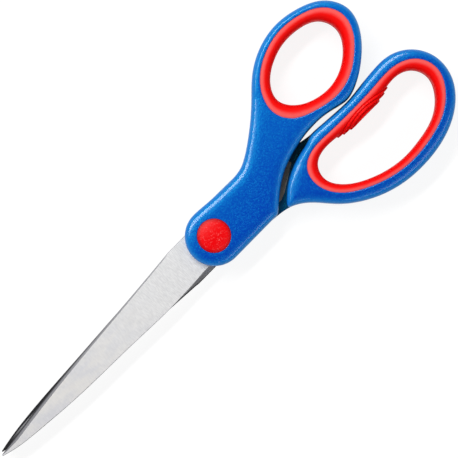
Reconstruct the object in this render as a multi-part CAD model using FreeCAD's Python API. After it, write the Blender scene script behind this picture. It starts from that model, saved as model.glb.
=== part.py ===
"""Office scissors, 170 mm long, closed: two steel blades in plastic handles with soft red grips.

Frame: millimetres, +Z up. The scissors lie flat on z = 0. The origin is the pivot's foot on
that plane, the blades point along -Y and the handles along +Y. The pivot's axis is +Z.

The front half (thumb loop, at -X) lies over the back half (finger loop, at +X). Each half's
handle is a thin plate round the pivot, on its own side of the middle plane, and thickens to
the full height in a shoulder and a loop, where the halves lie side by side.
"""
import FreeCAD, Part
import math
import os

V = FreeCAD.Vector

# ---- driving dimensions, millimetres ----
HANDLE_HEIGHT = 10.0          # handles, from the rest plane to the top
MID = HANDLE_HEIGHT / 2       # the plane that the two halves slide on
PLATE_GAP = 0.3               # between the plastic plates round the pivot
RIM_ROUND = 1.5               # rounding of the handles' outer rims
PLATE_CORNER_ROUND = 2.0      # the plates' corners, seen from above
THUMB_CORNER_ROUND = 1.6      # the thumb shoulder's corner
FINGER_CORNER_ROUND = 1.0     # the finger shoulder's sharper corner

BOSS_RADIUS = 8.65            # the front plate's end round the pivot
BOSS_X = 0.2                  # the boss lies a little to the right of the pivot
BACK_BOSS_RADIUS = 8.2

BLADE_THICK = 1.5
BLADE_GAP = 0.1               # between the blades' inner faces
BEVEL_LAND = 0.2              # flat left at the foot of the ground edge
SPINE_ROUND = 0.4             # rounding of the spine's outer edge
TANG_PLAY = 0.02              # round each blade in its handle

RIVET_RADIUS = 2.0
RIVET_PLAY = 0.05             # round the rivet, in the blade that turns on it
RIVET_HEAD_RADIUS = 3.6
RIVET_HEAD_THICK = 1.1
RIVET_TAIL_RADIUS = 2.8
RIVET_TAIL_THICK = 0.8
COLLAR_THICK = 0.9
WASHER_RADIUS = 3.9
WASHER_THICK = 0.3
WASHER_RISE = 0.35            # height of the spring washer's cone
WASHER_PLAY = 0.1             # under and over the spring washer

CAP_RADIUS = 4.9
CAP_THICK = 1.0               # part of the caps inside the handles
CAP_RIM = 0.25                # the front cap's rim stands this far over the handle
CAP_DOME = 0.5                # rise of its middle over its rim
CAP_LEDGE = 0.6               # width of the ledge that each cap sits on
CAP_PLAY = 0.02

GRIP_INSET = 0.25             # the grips' faces lie this far under the handles' faces
GRIP_ROUND = 2.0              # rounding of the grips' inner rims
TONGUE_WIDTH = 0.8            # ring of handle plastic that keys each grip
TONGUE_HEIGHT = 2.0

FRONT_BLADE_LOW = MID + BLADE_GAP / 2
FRONT_BLADE_TOP = FRONT_BLADE_LOW + BLADE_THICK
BACK_BLADE_TOP = MID - BLADE_GAP / 2
BACK_BLADE_LOW = BACK_BLADE_TOP - BLADE_THICK
FRONT_PLATE_LOW = MID + PLATE_GAP / 2
BACK_PLATE_TOP = MID - PLATE_GAP / 2

# ---- handle outlines, seen from above: (x, y) points on smooth curves ----
# The thumb loop's outer wall, from the shoulder at the left round to the slot between the loops.
THUMB_LOOP = [(-8.7, 20.4), (-11.6, 25.3), (-19.4, 35.0), (-24.8, 40.9), (-28.7, 48.2), (-30.0, 55.7),
              (-28.7, 63.6), (-24.9, 70.6), (-18.2, 73.8), (-10.9, 71.3), (-5.2, 65.8), (-1.15, 59.2),
              (-0.05, 55.0), (-0.75, 51.0), (-1.6, 47.0), (-1.85, 44.0), (-1.8, 41.6)]
THUMB_LOOP_START = (-0.42, 0.91)
THUMB_SLOT_END = (0.03, -1.0)
# The front plate's edge along the gap beside the finger half, from the slot to its corner.
FRONT_GAP_EDGE = [(-1.8, 41.6), (-1.35, 37.3), (-0.5, 33.2), (1.5, 27.5), (4.5, 22.7), (8.85, 17.4)]
# The thumb shoulder's edge along the same gap on the underside, where the halves change places.
THUMB_SHOULDER_EDGE = [(-1.8, 41.6), (-2.05, 37.5), (-2.6, 32.6), (-4.0, 28.0), (-6.2, 23.8), (-8.7, 20.4)]

# The finger loop's outer wall, from the slot round to the shoulder at the right.
FINGER_LOOP = [(-0.64, 40.9), (-0.42, 44.5), (0.0, 50.0), (0.2, 55.0), (-0.2, 59.5), (-0.85, 66.9),
               (-0.7, 71.4), (2.6, 77.9), (9.0, 81.45), (16.6, 80.7), (23.4, 75.3), (27.5, 66.9),
               (28.9, 56.5), (28.1, 48.2), (24.7, 39.1), (18.8, 31.3), (12.9, 26.0), (9.55, 20.0)]
FINGER_SLOT_START = (0.0, 1.0)
FINGER_LOOP_END = (-0.22, -0.98)
# The finger shoulder's edge along the gap, and the back plate's under the front half.
FINGER_SHOULDER_EDGE = [(9.55, 20.0), (8.0, 21.6), (5.0, 25.0), (2.4, 29.9), (1.2, 33.6), (0.3, 37.4),
                        (-0.64, 40.9)]
BACK_GAP_EDGE = [(-7.7, 17.9), (-4.6, 22.4), (-2.7, 27.5), (-1.75, 32.5), (-1.25, 36.5), (-0.64, 40.9)]

# ---- grip outlines: the seat where plastic and rubber meet, and the hole for thumb or fingers ----
THUMB_SEAT = [(-3.1, 54.0), (-4.5, 60.2), (-8.2, 65.8), (-13.2, 70.1), (-18.4, 71.3), (-23.6, 68.8),
              (-27.0, 62.3), (-27.9, 55.4), (-26.2, 47.7), (-21.9, 41.1), (-17.2, 38.0), (-12.6, 37.3),
              (-7.9, 39.6), (-4.4, 46.4)]
THUMB_HOLE = [(-6.2, 53.8), (-7.5, 59.3), (-11.05, 64.4), (-16.5, 67.35), (-21.9, 65.5), (-24.55, 59.6),
              (-24.65, 53.2), (-22.4, 46.8), (-18.7, 42.3), (-14.4, 40.7), (-9.8, 43.2), (-7.0, 48.2)]
FINGER_SEAT = [(25.5, 56.0), (24.9, 62.8), (22.8, 70.2), (18.3, 76.3), (11.8, 79.3), (5.6, 76.9),
               (2.8, 71.5), (2.7, 63.0), (2.95, 54.0), (2.7, 43.0), (3.0, 37.0), (5.6, 32.5),
               (10.6, 31.2), (16.5, 33.7), (21.8, 41.0), (24.7, 49.0)]
FINGER_HOLE = [(23.35, 55.8), (22.95, 61.05), (21.0, 68.7), (16.85, 73.9), (11.4, 76.0), (6.8, 73.7),
               (5.2, 69.4), (5.5, 64.5), (5.85, 55.5), (5.5, 46.5), (5.1, 40.8), (6.8, 35.8),
               (11.2, 34.1), (16.0, 36.6), (20.2, 42.8), (22.6, 49.6)]

# Ribs on the finger hole's left wall: stacked ovals, each with its half length along Y, its
# half height and the x of its face.
RIB_CENTRE_Y = 55.5
RIB_ROOT_X = 4.3
RIBS = [(10.35, 4.1, 6.1), (8.5, 3.7, 6.45), (6.0, 3.1, 6.8)]

# ---- blade outlines: the cutting edge from heel to tip, and the spine from tip to pivot ----
FRONT_HEEL_X = 6.1            # how far the front blade's heel reaches to the left
FRONT_SPINE_X = 5.2
FRONT_CUTTING = [(-6.0, -14.0), (-4.75, -30.0), (-3.4, -50.0), (-1.7, -70.0), (0.65, -88.05)]
FRONT_BEVEL = [(-5.45, -14.3), (-4.2, -30.0), (-2.85, -50.0), (-1.1, -70.0), (0.9, -87.6)]
FRONT_TIP = (0.85, -88.27)
FRONT_SPINE = [(1.1, -88.1), (1.95, -85.0), (3.4, -75.0), (4.6, -60.0), (5.2, -40.0), (5.75, -22.0),
               (5.2, -9.0)]
BACK_HEEL_X = 6.6
BACK_SPINE_X = 5.0
BACK_CUTTING = [(6.45, -14.0), (5.35, -30.0), (4.1, -50.0), (2.6, -70.0), (0.25, -87.35)]
BACK_BEVEL = [(5.9, -14.3), (4.8, -30.0), (3.55, -50.0), (2.0, -70.0), (0.05, -86.9)]
BACK_TIP = (0.05, -87.55)
BACK_SPINE = [(-0.15, -87.4), (-0.7, -84.6), (-2.15, -73.0), (-3.25, -55.0), (-4.4, -35.0),
              (-4.9, -22.0), (-5.0, -9.0)]
HEEL_END = -13.0
# The tang inside the handle, on the heel's side first; x is measured towards the heel's side.
TANG_RUN = [(5.85, 23.1), (2.8, 28.0), (1.15, 30.8), (0.0, 30.4)]
TANG_HEEL_TOP = 21.0
TANG_SPINE_TOP = 12.0


# ---- helpers ----
def line(a, b):
    """Straight edge between two (x, y) points."""
    return Part.LineSegment(V(a[0], a[1], 0), V(b[0], b[1], 0)).toShape()


def arc(a, middle, b):
    """Circular edge through three (x, y) points."""
    return Part.Arc(V(a[0], a[1], 0), V(middle[0], middle[1], 0), V(b[0], b[1], 0)).toShape()


def curve(points, start=None, end=None):
    """Smooth edge through (x, y) points, with optional (dx, dy) directions at its two ends."""
    spline = Part.BSplineCurve()
    path = [V(x, y, 0) for x, y in points]
    if start is None:
        spline.interpolate(path)
    else:
        spline.interpolate(Points=path, InitialTangent=V(*start, 0), FinalTangent=V(*end, 0), Scale=True)
    return spline.toShape()


def closed_spline(points):
    """Smooth closed curve through (x, y) points."""
    spline = Part.BSplineCurve()
    spline.interpolate(Points=[V(x, y, 0) for x, y in points], PeriodicFlag=True)
    return spline


def closed_curve(points):
    """Smooth closed wire through (x, y) points, in two edges."""
    spline = closed_spline(points)
    half = (spline.FirstParameter + spline.LastParameter) / 2
    return Part.Wire([spline.toShape(spline.FirstParameter, half), spline.toShape(half, spline.LastParameter)])


def inset(points, distance):
    """The points of a closed curve, moved inwards along its normals; the points run anticlockwise."""
    spline = closed_spline(points)
    moved = []
    for x, y in points:
        along = spline.tangent(spline.parameter(V(x, y, 0)))[0]
        moved.append((x - along.y * distance, y + along.x * distance))
    return moved


def slab(outline, low, high):
    """Solid between two heights over a closed outline: a wire or a list of edges."""
    wire = outline if isinstance(outline, Part.Wire) else Part.Wire(outline)
    face = Part.Face(wire)
    face.translate(V(0, 0, low))
    return face.extrude(V(0, 0, high - low))


def disc(radius, low, high):
    """Cylinder on the pivot's axis."""
    return Part.makeCylinder(radius, high - low, V(0, 0, low))


def turned(profile):
    """Solid of revolution about the pivot's axis, from the (radius, z) corners of its section."""
    corners = [V(r, 0, z) for r, z in profile]
    face = Part.Face(Part.Wire(Part.makePolygon(corners + corners[:1])))
    return face.revolve(V(0, 0, 0), V(0, 0, 1), 360)


def rim_edges(body, height):
    """The body's edges that lie wholly in the plane z = height."""
    def in_plane(edge):
        box = edge.BoundBox
        return abs(box.ZMin - height) < 1e-4 and abs(box.ZMax - height) < 1e-4
    return [edge for edge in body.Edges if in_plane(edge)]


def upright_edges(body, point, reach=0.6):
    """The body's vertical edges within reach of an (x, y) point."""
    def near(edge):
        box = edge.BoundBox
        upright = box.ZLength > 0.5 and box.XLength < 1e-3 and box.YLength < 1e-3
        return upright and math.hypot(box.XMin - point[0], box.YMin - point[1]) < reach
    return [edge for edge in body.Edges if near(edge)]


# ---- blades ----
def towards_heel(points, side):
    """The points with x counted towards the heel's side, so that one list serves both halves."""
    return [(side * x, y) for x, y in points]


def blade_outline(side, heel_x, spine_x, cutting, tip, spine):
    """Closed outline of a blade and its tang; side is -1 with the heel at the left, 1 at the right."""
    heel = (side * heel_x, HEEL_END)
    corners = [heel, (side * heel_x, TANG_HEEL_TOP)] + towards_heel(TANG_RUN, side)
    corners += [(-side * spine_x, TANG_SPINE_TOP), spine[-1]]
    edges = [line(a, b) for a, b in zip(corners, corners[1:])]
    edges += [curve(spine[::-1]), arc(spine[0], tip, cutting[-1]), curve(cutting[::-1]), line(cutting[0], heel)]
    return Part.Wire(edges)


def spine_edges(body, side, outer_z):
    """The long edge between the outer face and the spine, opposite the heel's side."""
    long_edges = [edge for edge in rim_edges(body, outer_z) if edge.Length > 60]
    return [edge for edge in long_edges if side * edge.BoundBox.Center.x < 0]


def blade(side, heel_x, spine_x, cutting, bevel, tip, spine, inner_z, outer_z, bore):
    """Flat blade with a ground bevel on its outer face and a round hole for the rivet."""
    full = blade_outline(side, heel_x, spine_x, cutting, tip, spine)
    ground_tip = ((spine[0][0] + bevel[-1][0]) / 2, (spine[0][1] + bevel[-1][1]) / 2 - 0.05)
    ground = blade_outline(side, heel_x, spine_x, bevel, ground_tip, spine)
    land_z = inner_z + math.copysign(BEVEL_LAND, outer_z - inner_z)
    full.translate(V(0, 0, inner_z))
    foot = Part.Face(full).extrude(V(0, 0, land_z - inner_z))
    full.translate(V(0, 0, land_z - inner_z))
    ground.translate(V(0, 0, outer_z))
    upper = Part.makeLoft([full, ground], True, True)
    body = foot.fuse(upper).removeSplitter()
    body = body.makeFillet(SPINE_ROUND, spine_edges(body, side, outer_z))
    return body.cut(disc(bore, 0, HANDLE_HEIGHT))


def front_blade():
    """Blade of the front half, which turns on the rivet."""
    return blade(-1, FRONT_HEEL_X, FRONT_SPINE_X, FRONT_CUTTING, FRONT_BEVEL, FRONT_TIP, FRONT_SPINE,
                 FRONT_BLADE_LOW, FRONT_BLADE_TOP, RIVET_RADIUS + RIVET_PLAY)


def back_blade():
    """Blade of the back half, which holds the rivet."""
    return blade(1, BACK_HEEL_X, BACK_SPINE_X, BACK_CUTTING, BACK_BEVEL, BACK_TIP, BACK_SPINE,
                 BACK_BLADE_TOP, BACK_BLADE_LOW, RIVET_RADIUS)


def tang_pocket(side, heel_x, spine_x, low, high):
    """Room for a blade's tang in its handle, a little larger than the tang all round."""
    corners = [(side * heel_x, HEEL_END), (side * heel_x, TANG_HEEL_TOP)] + towards_heel(TANG_RUN, side)
    corners += [(-side * spine_x, TANG_SPINE_TOP), (-side * spine_x, HEEL_END)]
    loop = Part.makePolygon([V(x, y, 0) for x, y in corners + corners[:1]])
    return slab(loop.makeOffset2D(TANG_PLAY), low - TANG_PLAY, high + TANG_PLAY)


# ---- handles ----
def thumb_shell():
    """Front half's handle before it is hollowed: plate over the pivot, shoulder and loop."""
    boss_left = (BOSS_X - BOSS_RADIUS, 0)
    boss_right = (BOSS_X + BOSS_RADIUS, 0)
    loop = curve(THUMB_LOOP, THUMB_LOOP_START, THUMB_SLOT_END)
    left = curve([boss_left, (-8.1, 5.0), (-7.75, 13.0), THUMB_LOOP[0]], (0, 1), THUMB_LOOP_START)
    gap = curve(FRONT_GAP_EDGE, THUMB_SLOT_END, (0.66, -0.75))
    right = line(FRONT_GAP_EDGE[-1], boss_right)
    boss = arc(boss_right, (BOSS_X, -BOSS_RADIUS), boss_left)
    plate = slab([left, loop, gap, right, boss], FRONT_PLATE_LOW, HANDLE_HEIGHT)
    plate = plate.makeFillet(PLATE_CORNER_ROUND, upright_edges(plate, FRONT_GAP_EDGE[-1]))
    shoulder_edge = curve(THUMB_SHOULDER_EDGE, THUMB_SLOT_END, (-0.7, -0.72))
    under = slab([loop, shoulder_edge], 0, FRONT_PLATE_LOW)
    under = under.makeFillet(THUMB_CORNER_ROUND, upright_edges(under, THUMB_LOOP[0]))
    return plate.fuse(under).removeSplitter()


def finger_shell():
    """Back half's handle before it is hollowed: the same the other way up, with its larger loop."""
    boss_left = (-BACK_BOSS_RADIUS + 0.1, 0)
    boss_right = (BACK_BOSS_RADIUS + 0.1, 0)
    loop = curve(FINGER_LOOP, FINGER_SLOT_START, FINGER_LOOP_END)
    right = curve([FINGER_LOOP[-1], (8.75, 13.0), (8.4, 5.0), boss_right], FINGER_LOOP_END, (0, -1))
    boss = arc(boss_right, (0.1, -BACK_BOSS_RADIUS), boss_left)
    left = line(boss_left, BACK_GAP_EDGE[0])
    gap = curve(BACK_GAP_EDGE, (0.6, 0.8), FINGER_SLOT_START)
    plate = slab([right, boss, left, gap, loop], 0, BACK_PLATE_TOP)
    plate = plate.makeFillet(PLATE_CORNER_ROUND, upright_edges(plate, BACK_GAP_EDGE[0]))
    shoulder_edge = curve(FINGER_SHOULDER_EDGE, (-0.66, 0.75), FINGER_SLOT_START)
    over = slab([loop, shoulder_edge], BACK_PLATE_TOP, HANDLE_HEIGHT)
    over = over.makeFillet(FINGER_CORNER_ROUND, upright_edges(over, FINGER_LOOP[-1]))
    return plate.fuse(over).removeSplitter()


def rims_rounded(body):
    """The body with the rims of its top and its underside rounded."""
    for height in (HANDLE_HEIGHT, 0):
        body = body.makeFillet(RIM_ROUND, rim_edges(body, height))
    return body


def tongue(seat):
    """Ring of handle plastic half way up the seat, which keys the grip that is moulded on it."""
    low = MID - TONGUE_HEIGHT / 2
    high = MID + TONGUE_HEIGHT / 2
    return slab(closed_curve(seat), low, high).cut(slab(closed_curve(inset(seat, TONGUE_WIDTH)), low, high))


def thumb_handle():
    """Front half's handle, with the grip's seat, the tang's pocket and the cap's socket."""
    body = rims_rounded(thumb_shell())
    body = body.cut(slab(closed_curve(THUMB_SEAT), 0, HANDLE_HEIGHT))
    body = body.fuse(tongue(THUMB_SEAT))
    body = body.cut(tang_pocket(-1, FRONT_HEEL_X, FRONT_SPINE_X, FRONT_BLADE_LOW, FRONT_BLADE_TOP))
    body = body.cut(disc(CAP_RADIUS + CAP_PLAY, HANDLE_HEIGHT - CAP_THICK, HANDLE_HEIGHT))
    return body.cut(disc(CAP_RADIUS - CAP_LEDGE, MID, HANDLE_HEIGHT))


def finger_handle():
    """Back half's handle, with the same cuts from the other side."""
    body = rims_rounded(finger_shell())
    body = body.cut(slab(closed_curve(FINGER_SEAT), 0, HANDLE_HEIGHT))
    body = body.fuse(tongue(FINGER_SEAT))
    body = body.cut(tang_pocket(1, BACK_HEEL_X, BACK_SPINE_X, BACK_BLADE_LOW, BACK_BLADE_TOP))
    body = body.cut(disc(CAP_RADIUS + CAP_PLAY, 0, CAP_THICK))
    return body.cut(disc(CAP_RADIUS - CAP_LEDGE, 0, MID))


# ---- grips ----
def grip(seat, hole):
    """Soft ring that fills its seat, with rounded inner rims and a groove for the tongue."""
    low = GRIP_INSET
    high = HANDLE_HEIGHT - GRIP_INSET
    block = slab(closed_curve(seat), low, high)
    opening = slab(closed_curve(hole), low, high)
    ring = block.cut(opening)
    rims = [edge for height in (low, high) for edge in rim_edges(ring, height)]
    inner_rims = sorted(rims, key=lambda edge: edge.Length)[:4]
    return ring.makeFillet(GRIP_ROUND, inner_rims).cut(tongue(seat))


def rib(half_length, half_height, face_x):
    """Oval pad that stands out from the finger hole's left wall."""
    centre = V(RIB_ROOT_X, RIB_CENTRE_Y, MID)
    oval = Part.Ellipse(centre + V(0, half_length, 0), centre + V(0, 0, half_height), centre)
    return Part.Face(Part.Wire([oval.toShape()])).extrude(V(face_x - RIB_ROOT_X, 0, 0))


def thumb_grip():
    return grip(THUMB_SEAT, THUMB_HOLE)


def finger_grip():
    """The fingers' ring, with three stacked ovals where the index finger rests."""
    body = grip(FINGER_SEAT, FINGER_HOLE)
    for half_length, half_height, face_x in RIBS:
        body = body.fuse(rib(half_length, half_height, face_x))
    return body.removeSplitter()


# ---- pivot ----
def pivot_rivet():
    """Rivet with a domed head at the front and a tail spread over the collar at the back."""
    washer_room = WASHER_THICK + WASHER_RISE + 2 * WASHER_PLAY
    head_low = FRONT_BLADE_TOP + washer_room
    head_top = head_low + RIVET_HEAD_THICK
    tail_top = BACK_BLADE_LOW - COLLAR_THICK
    tail_low = tail_top - RIVET_TAIL_THICK
    shank = disc(RIVET_RADIUS, tail_top, head_low)
    head = disc(RIVET_HEAD_RADIUS, head_low, head_top)
    head = head.makeFillet(RIVET_HEAD_THICK * 0.8, rim_edges(head, head_top))
    tail = disc(RIVET_TAIL_RADIUS, tail_low, tail_top)
    tail = tail.makeFillet(RIVET_TAIL_THICK * 0.8, rim_edges(tail, tail_low))
    return shank.fuse([head, tail]).removeSplitter()


def rivet_collar():
    """Flat washer under the rivet's tail."""
    low = BACK_BLADE_LOW - COLLAR_THICK
    return disc(RIVET_HEAD_RADIUS, low, BACK_BLADE_LOW).cut(disc(RIVET_RADIUS, low, BACK_BLADE_LOW))


def spring_washer():
    """Cone washer under the rivet's head, which presses the blades together."""
    low = FRONT_BLADE_TOP + WASHER_PLAY
    inner = RIVET_RADIUS + 3 * RIVET_PLAY
    return turned([(inner, low + WASHER_RISE), (WASHER_RADIUS, low), (WASHER_RADIUS, low + WASHER_THICK),
                   (inner, low + WASHER_RISE + WASHER_THICK)])


def front_pivot_cap():
    """Domed button that closes the front socket."""
    low = HANDLE_HEIGHT - CAP_THICK
    rim = HANDLE_HEIGHT + CAP_RIM
    sphere_radius = (CAP_RADIUS ** 2 + CAP_DOME ** 2) / (2 * CAP_DOME)
    ball = Part.makeSphere(sphere_radius, V(0, 0, rim + CAP_DOME - sphere_radius))
    button = disc(CAP_RADIUS, low, rim + CAP_DOME).common(ball)
    return button.makeFillet(CAP_RIM, [edge for edge in button.Edges if abs(edge.BoundBox.ZMin - rim) < 1e-3])


def back_pivot_cap():
    """Flat button, flush with the back handle's underside."""
    return disc(CAP_RADIUS, 0, CAP_THICK)


SUB_PARTS = [front_blade, back_blade, thumb_handle, finger_handle, thumb_grip, finger_grip,
             pivot_rivet, rivet_collar, spring_washer, front_pivot_cap, back_pivot_cap]

os.makedirs("parts", exist_ok=True)
for make in SUB_PARTS:
    shape = make()
    name = make.__name__
    print(f"{name}: {len(shape.Solids)} solid, valid {shape.isValid()}, {shape.Volume:.1f} mm3")
    shape.exportStep(f"parts/{name}.step")
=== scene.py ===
# %% [markdown]
# # Office scissors, closed, on a pale table
#
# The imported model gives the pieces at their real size. Each piece that shows is modelled again
# here as a smooth surface over the same outlines, because a highlight on rounded plastic or
# ground steel shows every facet. The rivet and its washers are hidden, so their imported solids
# only get a finish.

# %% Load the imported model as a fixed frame
import math

import bmesh
import bpy
import numpy as np
from mathutils.geometry import delaunay_2d_cdt
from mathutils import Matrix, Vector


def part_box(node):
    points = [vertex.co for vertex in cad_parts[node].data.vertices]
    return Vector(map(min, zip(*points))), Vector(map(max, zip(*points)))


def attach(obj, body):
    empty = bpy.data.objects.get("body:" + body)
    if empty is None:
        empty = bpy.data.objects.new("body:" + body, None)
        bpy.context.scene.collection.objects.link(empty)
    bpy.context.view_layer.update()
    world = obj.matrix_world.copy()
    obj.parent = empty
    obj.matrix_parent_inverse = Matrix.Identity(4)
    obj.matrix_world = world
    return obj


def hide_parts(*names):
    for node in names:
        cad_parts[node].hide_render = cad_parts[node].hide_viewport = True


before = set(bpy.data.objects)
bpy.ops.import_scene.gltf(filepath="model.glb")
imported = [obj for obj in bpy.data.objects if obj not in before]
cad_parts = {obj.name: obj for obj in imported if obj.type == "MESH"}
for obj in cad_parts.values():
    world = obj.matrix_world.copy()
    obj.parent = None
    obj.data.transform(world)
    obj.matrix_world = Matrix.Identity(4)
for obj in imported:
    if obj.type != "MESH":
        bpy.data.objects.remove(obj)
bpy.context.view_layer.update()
MM = 0.001


def new_object(name, data):
    """An object for that data, linked into the scene."""
    thing = bpy.data.objects.new(name, data)
    bpy.context.scene.collection.objects.link(thing)
    return thing


print("packed nodes:", ", ".join(sorted(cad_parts)))

# %% [markdown]
# ## Camera
#
# The scissors are seen from straight above with a long lens, which keeps both ends at the same
# scale. The view is turned, so that they lie across it.

# %% Camera straight above
VIEW_CENTRE = (1.7 * MM, 4.4 * MM)
VIEW_SPAN = 131.9 * MM  # width of the view at the height of the handles' faces
VIEW_TURN = 44.5
LENS = 200.0

camera_data = bpy.data.cameras.new("camera")
camera_data.lens = LENS
camera_height = 8 * MM + VIEW_SPAN * LENS / camera_data.sensor_width
camera_data.clip_start = 0.05
camera_data.clip_end = 20.0
camera = new_object("camera", camera_data)
camera.location = (*VIEW_CENTRE, camera_height)
camera.rotation_euler = (0, 0, math.radians(VIEW_TURN))
bpy.context.scene.camera = camera
print(f"camera {camera_height:.3f} m over the table")

# %% [markdown]
# ## Heights
#
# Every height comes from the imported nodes. The two halves change places at the middle plane.

# %% Heights, in millimetres
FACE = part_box("thumb_handle")[1].z / MM
PLATE_GAP = 0.3  # between the two plates round the pivot
FRONT_PLATE_LOW = (FACE + PLATE_GAP) / 2
BACK_PLATE_TOP = (FACE - PLATE_GAP) / 2
GRIP_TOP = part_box("thumb_grip")[1].z / MM
CAP_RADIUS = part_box("front_pivot_cap")[1].x / MM
CAP_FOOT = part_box("front_pivot_cap")[0].z / MM
CAP_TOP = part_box("front_pivot_cap")[1].z / MM
print(f"handles {FACE:.1f} mm high, cap {2 * CAP_RADIUS:.1f} mm across")

# %% [markdown]
# ## Smooth outlines from a few points
#
# A moulded loop has no straight stretch, so its outline is a curve through a dozen or so
# points. Between two points it is a Hermite cubic, and the slopes at the points are the ones
# that keep its curvature unbroken. They come from one small linear system.


# %% Curves through points
STEP = 0.2  # millimetres between the points of a finished outline
SAMPLES = 80  # of a curve, for each point it is drawn through
CORNER_SIDE = 1.8  # how far from a corner the direction of its sides is taken
ARC_STEPS = 15


def hermite(points, slopes, chord):
    """Cubics between neighbouring points with those slopes: each is
    (1+2t)(1-t)^2 P + t(1-t)^2 h M + t^2(3-2t) Q + t^2(t-1) h N, for the chord's length h."""
    knots = np.concatenate([[0], np.cumsum(chord)])
    at = np.linspace(0, knots[-1], SAMPLES * len(points))
    i = np.clip(np.searchsorted(knots, at, side="right") - 1, 0, len(chord) - 1)
    h = chord[i][:, None]
    t = (at - knots[i])[:, None] / h
    near = (1 + 2 * t) * (1 - t) ** 2 * points[i] + t * (1 - t) ** 2 * h * slopes[i]
    return near + t * t * (3 - 2 * t) * points[i + 1] + t * t * (t - 1) * h * slopes[i + 1]


def even_steps(path, step=STEP):
    """The same line, with its points an equal distance apart and as near to step as fits."""
    run = np.concatenate([[0], np.cumsum(np.hypot(*np.diff(path, axis=0).T))])
    at = np.linspace(0, run[-1], max(2, round(run[-1] / step) + 1))
    return np.column_stack([np.interp(at, run, path[:, k]) for k in (0, 1)])


def open_curve(points, start=None, end=None):
    """Curve through points; start and end are its directions there, or else it ends unbent.

    The slopes m solve b m[i-1] + 2 (a + b) m[i] + a m[i+1] = 3 (b d[i-1] + a d[i]), for the
    lengths a and b of the chords before and after point i, and their slopes d."""
    p = np.array(points, float)
    chord = np.hypot(*np.diff(p, axis=0).T)
    d = np.diff(p, axis=0) / chord[:, None]
    n = len(p)
    i = np.arange(1, n - 1)
    matrix = np.zeros((n, n))
    right = np.zeros((n, 2))
    matrix[i, i - 1] = chord[1:]
    matrix[i, i] = 2 * (chord[:-1] + chord[1:])
    matrix[i, i + 1] = chord[:-1]
    right[1:-1] = 3 * (chord[1:, None] * d[:-1] + chord[:-1, None] * d[1:])
    for row, beside, given, chord_slope in ((0, 1, start, d[0]), (n - 1, n - 2, end, d[-1])):
        matrix[row, row] = 2 if given is None else 1
        matrix[row, beside] = 1 if given is None else 0
        right[row] = 3 * chord_slope if given is None else np.array(given) / math.hypot(*given)
    return even_steps(hermite(p, np.linalg.solve(matrix, right), chord))


def closed_curve(points):
    """Smooth closed curve through points: the same system, wrapped round."""
    p = np.array(points, float)
    chord = np.hypot(*(np.roll(p, -1, axis=0) - p).T)
    d = (np.roll(p, -1, axis=0) - p) / chord[:, None]
    before = np.roll(chord, 1)
    n = len(p)
    i = np.arange(n)
    matrix = np.zeros((n, n))
    matrix[i, i - 1] = chord
    matrix[i, i] = 2 * (before + chord)
    matrix[i, (i + 1) % n] = before
    right = 3 * (chord[:, None] * np.roll(d, 1, axis=0) + before[:, None] * d)
    slopes = np.linalg.solve(matrix, right)
    path = hermite(np.vstack([p, p[:1]]), np.vstack([slopes, slopes[:1]]), chord)
    return even_steps(path)[:-1]


def circle_arc(centre, radius, first, last):
    """Points centre + radius (cos a, sin a) for the angle a from first to last, in degrees."""
    count = max(3, round(abs(math.radians(last - first)) * radius / STEP) + 1)
    a = np.radians(np.linspace(first, last, count))
    return np.array(centre) + radius * np.column_stack([np.cos(a), np.sin(a)])


def rounded_corner(into, out_of, radius):
    """Two lines that meet in a corner C, with an arc of that radius from A on one to B on the other.

    The arc is ((1-t)^2 A + 2t(1-t)w C + t^2 B) / ((1-t)^2 + 2t(1-t)w + t^2), which is round
    where w is the cosine of half the turn."""
    corner = into[-1]
    sides = []
    for side in (into, out_of):
        sample = side[np.argmin(abs(np.hypot(*(side - corner).T) - CORNER_SIDE))] - corner
        sides.append(sample / np.hypot(*sample))
    inner_angle = math.acos(sides[0] @ sides[1])
    trim = radius / math.tan(inner_angle / 2)
    a, b = corner + sides[0] * trim, corner + sides[1] * trim
    w = math.sin(inner_angle / 2)
    t = np.linspace(0, 1, ARC_STEPS)[:, None]
    weight = (1 - t) ** 2 + 2 * t * (1 - t) * w + t ** 2
    arc = ((1 - t) ** 2 * a + 2 * t * (1 - t) * w * corner + t ** 2 * b) / weight
    kept = [side[np.hypot(*(side - corner).T) > trim + STEP / 10] for side in (into, out_of)]
    return np.vstack([kept[0], arc, kept[1]])


def closed_outline(*lines, step=STEP):
    """Lines that follow each other, as one closed line in even steps."""
    path = np.vstack(lines + (lines[0][:1],))
    gap = np.hypot(*np.diff(path, axis=0).T)
    path = path[np.concatenate([[True], gap > 1e-6])]
    return even_steps(path, step)[:-1]


print("curve tools ready")

# %% [markdown]
# ## The halves' outlines
#
# Each half is a thin plate round the pivot that thickens to the full height in a shoulder and
# a loop. So it has two levels: the plate's takes in the boss round the pivot, and the other
# stops at the shoulder.

# %% Outlines of the thumb half
THUMB_LOOP = [
    (-8.7, 20.4), (-11.6, 25.3), (-19.4, 35.0), (-24.8, 40.9), (-28.7, 48.2),
    (-30.0, 55.7), (-28.7, 63.6), (-24.9, 70.6), (-18.2, 73.8), (-10.9, 71.3), (-5.2, 65.8),
    (-1.15, 59.2), (-0.05, 55.0), (-0.75, 51.0), (-1.6, 47.0), (-1.85, 44.0), (-1.8, 41.6)]
FRONT_GAP_EDGE = [(-1.8, 41.6), (-1.35, 37.3), (-0.5, 33.2), (1.5, 27.5), (4.5, 22.7), (8.85, 17.4)]
THUMB_SHOULDER = [(-1.8, 41.6), (-2.05, 37.5), (-2.6, 32.6), (-4.0, 28.0), (-6.2, 23.8), (-8.7, 20.4)]
THUMB_LOOP_START = (-0.42, 0.91)
THUMB_SLOT_END = (0.03, -1.0)
FRONT_BOSS_X = 0.2
FRONT_BOSS_RADIUS = 8.65
PLATE_CORNER_ROUND = 2.0
THUMB_CORNER_ROUND = 1.6

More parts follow.
